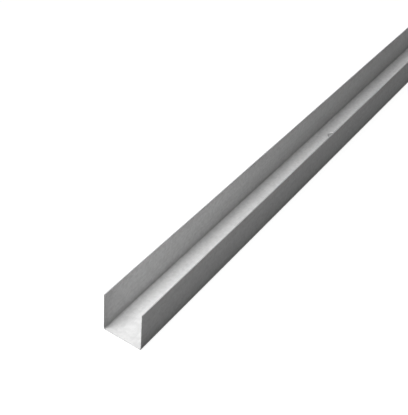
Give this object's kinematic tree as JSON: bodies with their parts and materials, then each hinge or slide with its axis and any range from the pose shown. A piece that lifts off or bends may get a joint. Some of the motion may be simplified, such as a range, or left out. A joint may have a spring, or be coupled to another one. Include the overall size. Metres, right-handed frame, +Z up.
{
  "type": "drywall track channel",
  "caption": "Length of thin galvanised steel U track with plain flanges and fixing holes along its web, fixed round a wall or ceiling to hold plasterboard framing.",
  "frame": {"origin": "middle of the web's underside, which is the surface that the channel lies on", "axes": "+X along the length, +Y across the web from flange to flange, +Z up the flanges towards the open side"},
  "size_m": [3, 0.028, 0.027],
  "materials": {
    "galvanised_steel": "satin zinc coating, fine and even, a little duller inside the bends"
  },
  "bodies": {
    "root": {"channel": "galvanised_steel"}
  },
  "joints": []
}
